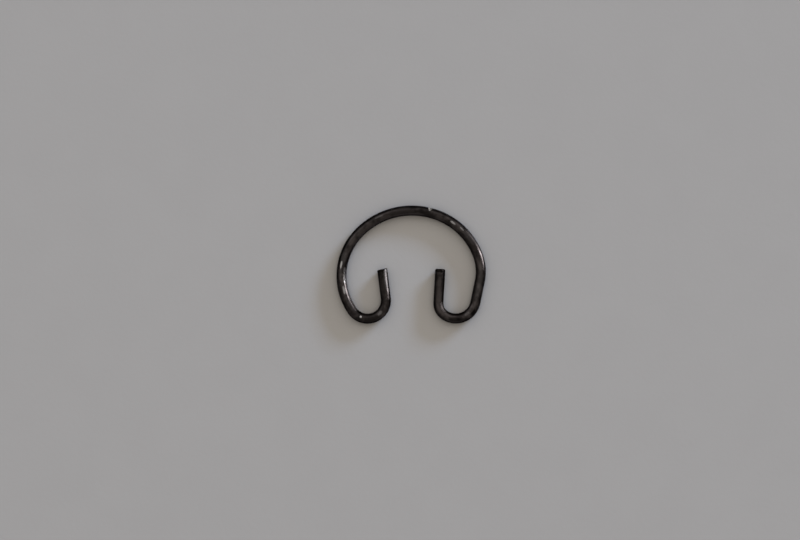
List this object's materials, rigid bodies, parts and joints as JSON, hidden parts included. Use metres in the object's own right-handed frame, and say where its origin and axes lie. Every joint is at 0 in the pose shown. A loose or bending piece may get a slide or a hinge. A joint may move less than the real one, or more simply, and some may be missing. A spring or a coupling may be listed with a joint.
{
  "type": "piston pin circlip",
  "caption": "Open ring of round spring wire with its ends turned inwards as hooks, sprung into the groove of a pin bore to keep a piston pin from sliding out.",
  "frame": {"origin": "centre of the crown arc on the wire's mid-plane, which is the axis of the pin bore that the clip springs into", "axes": "+Z along the pin bore, +X across the clip's width, -Y out through the gap between the hooks"},
  "size_m": [0.0147, 0.0116, 0.001],
  "materials": {
    "spring_wire": "dark tempered spring steel, satin, drawn lines along the wire and worn spots"
  },
  "bodies": {
    "root": {"circlip": "spring_wire"}
  },
  "joints": []
}
